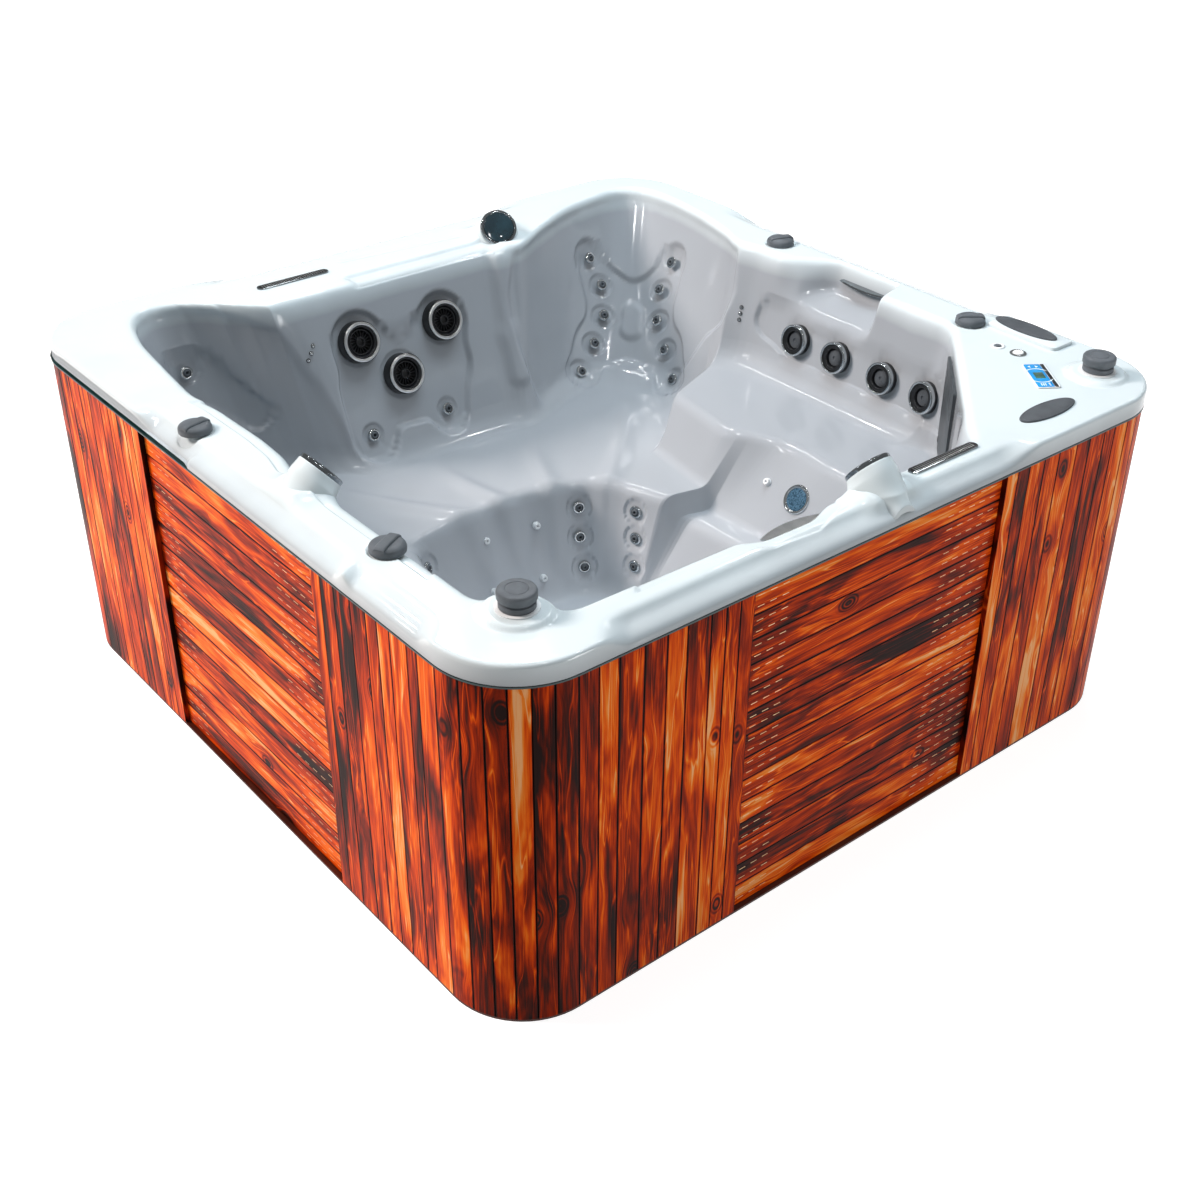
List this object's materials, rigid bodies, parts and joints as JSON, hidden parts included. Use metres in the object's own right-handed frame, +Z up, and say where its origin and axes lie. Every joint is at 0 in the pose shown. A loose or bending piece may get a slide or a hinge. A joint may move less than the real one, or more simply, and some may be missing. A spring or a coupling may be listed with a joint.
{
  "type": "hot tub",
  "caption": "Square acrylic hot tub with moulded seats, footwell, wall jets, water blades, lamp pods, filter niche and control deck, in a timber-boarded cabinet.",
  "frame": {"origin": "middle of the footprint on the ground, under the base pan", "axes": "+Z up, -Y out of the side with the removable service panel, +X out of the side nearest the raised seat"},
  "size_m": [2.12, 2.12, 1.0179],
  "materials": {
    "acrylic": "gloss",
    "gasket": "satin",
    "pan": "matte",
    "framing": "sawn",
    "props": "sawn",
    "corner_timber": "satin",
    "panel_timber": "satin",
    "black_plastic": "satin",
    "silver_bezel": "metallised",
    "rotor_plastic": "gloss",
    "chromed_plastic": "chromed",
    "white_plastic": "gloss",
    "lens": "gloss",
    "grey_plastic": "satin",
    "panel_overlay": "satin",
    "filter_cloth": "pleated",
    "motor_casting": "painted",
    "impeller_plastic": "satin",
    "heater_metal": "brushed",
    "box_plastic": "matte",
    "pipe_plastic": "matte"
  },
  "bodies": {
    "tub": {"acrylic_shell": "acrylic", "rim_gasket": "gasket", "base_pan": "pan", "frame_rails": "framing", "frame_studs": "framing", "shell_props": "props", "corner_boards": "corner_timber", "corner_battens": "framing", "side_panels": "panel_timber", "large_jet_housings": "black_plastic", "medium_jet_housings": "black_plastic", "small_jets": "chromed_plastic", "air_nozzles": "white_plastic", "led_studs": "chromed_plastic", "lamp_bezels": "chromed_plastic", "lamp_lenses": "lens", "cascade_strips": "chromed_plastic", "waterfall_lips": "chromed_plastic", "suction_covers": "white_plastic", "diverter_valves": "white_plastic", "air_valves": "white_plastic", "control_panel": "panel_overlay", "button_sockets": "chromed_plastic", "speaker_wells": "black_plastic", "skimmer_housing": "white_plastic", "pump_motor": "motor_casting", "pump_wet_end": "black_plastic", "heater_tube": "heater_metal", "control_box": "box_plastic", "blower_housing": "black_plastic", "water_pipes": "pipe_plastic"},
    "service_panel": {"service_panel": "panel_timber"},
    "large_jet_bezel_1": {"large_jet_bezel_1": "silver_bezel"},
    "large_jet_bezel_2": {"large_jet_bezel_2": "silver_bezel"},
    "large_jet_bezel_3": {"large_jet_bezel_3": "silver_bezel"},
    "large_jet_rotor_1": {"large_jet_rotor_1": "rotor_plastic"},
    "large_jet_rotor_2": {"large_jet_rotor_2": "rotor_plastic"},
    "large_jet_rotor_3": {"large_jet_rotor_3": "rotor_plastic"},
    "medium_jet_bezel_1": {"medium_jet_bezel_1": "silver_bezel"},
    "medium_jet_bezel_2": {"medium_jet_bezel_2": "silver_bezel"},
    "medium_jet_bezel_3": {"medium_jet_bezel_3": "silver_bezel"},
    "medium_jet_bezel_4": {"medium_jet_bezel_4": "silver_bezel"},
    "medium_jet_rotor_1": {"medium_jet_rotor_1": "rotor_plastic"},
    "medium_jet_rotor_2": {"medium_jet_rotor_2": "rotor_plastic"},
    "medium_jet_rotor_3": {"medium_jet_rotor_3": "rotor_plastic"},
    "medium_jet_rotor_4": {"medium_jet_rotor_4": "rotor_plastic"},
    "diverter_knob_near": {"diverter_knob_near": "grey_plastic"},
    "diverter_knob_right": {"diverter_knob_right": "grey_plastic"},
    "air_knob_1": {"air_knob_1": "grey_plastic"},
    "air_knob_2": {"air_knob_2": "grey_plastic"},
    "air_knob_3": {"air_knob_3": "grey_plastic"},
    "air_knob_4": {"air_knob_4": "grey_plastic"},
    "jets_button": {"jets_button": "white_plastic"},
    "light_button": {"light_button": "white_plastic"},
    "speaker_right": {"speaker_right": "grey_plastic"},
    "speaker_front": {"speaker_front": "grey_plastic"},
    "skimmer_cover": {"skimmer_cover": "grey_plastic"},
    "filter_cartridge": {"filter_cartridge": "filter_cloth"},
    "pump_impeller": {"pump_impeller": "impeller_plastic"},
    "blower_fan": {"blower_fan": "impeller_plastic"}
  },
  "joints": [
    {"name": "large_jet_bezel_1_turn", "type": "hinge", "parent": "tub", "child": "large_jet_bezel_1", "pos_m": [-0.2455, 0.71299, 0.784], "axis": [-0.002, -0.9361, 0.3518], "range_deg": [0, 100]},
    {"name": "large_jet_rotor_1_turn", "type": "hinge", "parent": "tub", "child": "large_jet_rotor_1", "pos_m": [-0.2455, 0.71299, 0.784], "axis": [-0.002, -0.9361, 0.3518], "continuous": true},
    {"name": "large_jet_bezel_2_turn", "type": "hinge", "parent": "tub", "child": "large_jet_bezel_2", "pos_m": [0.03722, 0.71015, 0.778], "axis": [-0.0017, -0.9349, 0.3549], "range_deg": [0, 100]},
    {"name": "large_jet_rotor_2_turn", "type": "hinge", "parent": "tub", "child": "large_jet_rotor_2", "pos_m": [0.03722, 0.71015, 0.778], "axis": [-0.0017, -0.9349, 0.3549], "continuous": true},
    {"name": "large_jet_bezel_3_turn", "type": "hinge", "parent": "tub", "child": "large_jet_bezel_3", "pos_m": [-0.13018, 0.66974, 0.67], "axis": [-0.0034, -0.9357, 0.3529], "range_deg": [0, 100]},
    {"name": "large_jet_rotor_3_turn", "type": "hinge", "parent": "tub", "child": "large_jet_rotor_3", "pos_m": [-0.13018, 0.66974, 0.67], "axis": [-0.0034, -0.9357, 0.3529], "continuous": true},
    {"name": "medium_jet_bezel_1_turn", "type": "hinge", "parent": "tub", "child": "medium_jet_bezel_1", "pos_m": [0.8289, 0.04344, 0.728], "axis": [-0.9762, 0.0001, 0.217], "range_deg": [0, 100]},
    {"name": "medium_jet_rotor_1_turn", "type": "hinge", "parent": "tub", "child": "medium_jet_rotor_1", "pos_m": [0.8289, 0.04344, 0.728], "axis": [-0.9762, 0.0001, 0.217], "continuous": true},
    {"name": "medium_jet_bezel_2_turn", "type": "hinge", "parent": "tub", "child": "medium_jet_bezel_2", "pos_m": [0.82891, -0.1165, 0.728], "axis": [-0.9762, -0.0002, 0.217], "range_deg": [0, 100]},
    {"name": "medium_jet_rotor_2_turn", "type": "hinge", "parent": "tub", "child": "medium_jet_rotor_2", "pos_m": [0.82891, -0.1165, 0.728], "axis": [-0.9762, -0.0002, 0.217], "continuous": true},
    {"name": "medium_jet_bezel_3_turn", "type": "hinge", "parent": "tub", "child": "medium_jet_bezel_3", "pos_m": [0.82898, -0.29356, 0.728], "axis": [-0.9762, -0.0005, 0.2168], "range_deg": [0, 100]},
    {"name": "medium_jet_rotor_3_turn", "type": "hinge", "parent": "tub", "child": "medium_jet_rotor_3", "pos_m": [0.82898, -0.29356, 0.728], "axis": [-0.9762, -0.0005, 0.2168], "continuous": true},
    {"name": "medium_jet_bezel_4_turn", "type": "hinge", "parent": "tub", "child": "medium_jet_bezel_4", "pos_m": [0.82693, -0.45085, 0.728], "axis": [-0.9685, 0.1328, 0.2108], "range_deg": [0, 100]},
    {"name": "medium_jet_rotor_4_turn", "type": "hinge", "parent": "tub", "child": "medium_jet_rotor_4", "pos_m": [0.82693, -0.45085, 0.728], "axis": [-0.9685, 0.1328, 0.2108], "continuous": true},
    {"name": "diverter_knob_near_turn", "type": "hinge", "parent": "tub", "child": "diverter_knob_near", "pos_m": [-0.866, -0.872, 0.936], "axis": [0, 0, 1], "range_deg": [-90, 90]},
    {"name": "diverter_knob_right_turn", "type": "hinge", "parent": "tub", "child": "diverter_knob_right", "pos_m": [0.92, -0.908, 0.936], "axis": [0, 0, 1], "range_deg": [-90, 90]},
    {"name": "air_knob_1_turn", "type": "hinge", "parent": "tub", "child": "air_knob_1", "pos_m": [-0.991, 0.215, 0.936], "axis": [0, 0, 1], "range_deg": [0, 180]},
    {"name": "air_knob_2_turn", "type": "hinge", "parent": "tub", "child": "air_knob_2", "pos_m": [-0.935, -0.52, 0.936], "axis": [0, 0, 1], "range_deg": [0, 180]},
    {"name": "air_knob_3_turn", "type": "hinge", "parent": "tub", "child": "air_knob_3", "pos_m": [0.95, 0.25, 0.936], "axis": [0, 0, 1], "range_deg": [0, 180]},
    {"name": "air_knob_4_turn", "type": "hinge", "parent": "tub", "child": "air_knob_4", "pos_m": [0.929, -0.494, 0.936], "axis": [0, 0, 1], "range_deg": [0, 180]},
    {"name": "jets_button_slide", "type": "slide", "parent": "tub", "child": "jets_button", "axis": [0, 0, -1], "range_m": [0, 0.003], "stiffness_N_per_m": 400, "springref_m": -0.002},
    {"name": "light_button_slide", "type": "slide", "parent": "tub", "child": "light_button", "axis": [0, 0, -1], "range_m": [0, 0.003], "stiffness_N_per_m": 400, "springref_m": -0.002},
    {"name": "speaker_right_slide", "type": "slide", "parent": "tub", "child": "speaker_right", "axis": [0, 0, 1], "range_m": [0, 0.06]},
    {"name": "speaker_front_slide", "type": "slide", "parent": "tub", "child": "speaker_front", "axis": [0, 0, 1], "range_m": [0, 0.06]},
    {"name": "skimmer_cover_slide", "type": "slide", "parent": "tub", "child": "skimmer_cover", "axis": [-0.6884, 0.7254, 0], "range_m": [0, 0.18]},
    {"name": "filter_cartridge_turn", "type": "hinge", "parent": "tub", "child": "filter_cartridge", "pos_m": [0.79083, -0.69154, 0.7], "axis": [0, 0, 1], "range_deg": [0, 90]},
    {"name": "service_panel_slide", "type": "slide", "parent": "tub", "child": "service_panel", "axis": [0, -1, 0], "range_m": [0, 0.3]},
    {"name": "pump_impeller_turn", "type": "hinge", "parent": "tub", "child": "pump_impeller", "pos_m": [-0.22, -0.765, 0.118], "axis": [1, 0, 0], "continuous": true},
    {"name": "blower_fan_turn", "type": "hinge", "parent": "tub", "child": "blower_fan", "pos_m": [0.62, -0.8, 0.1], "axis": [0, 0, 1], "continuous": true}
  ]
}
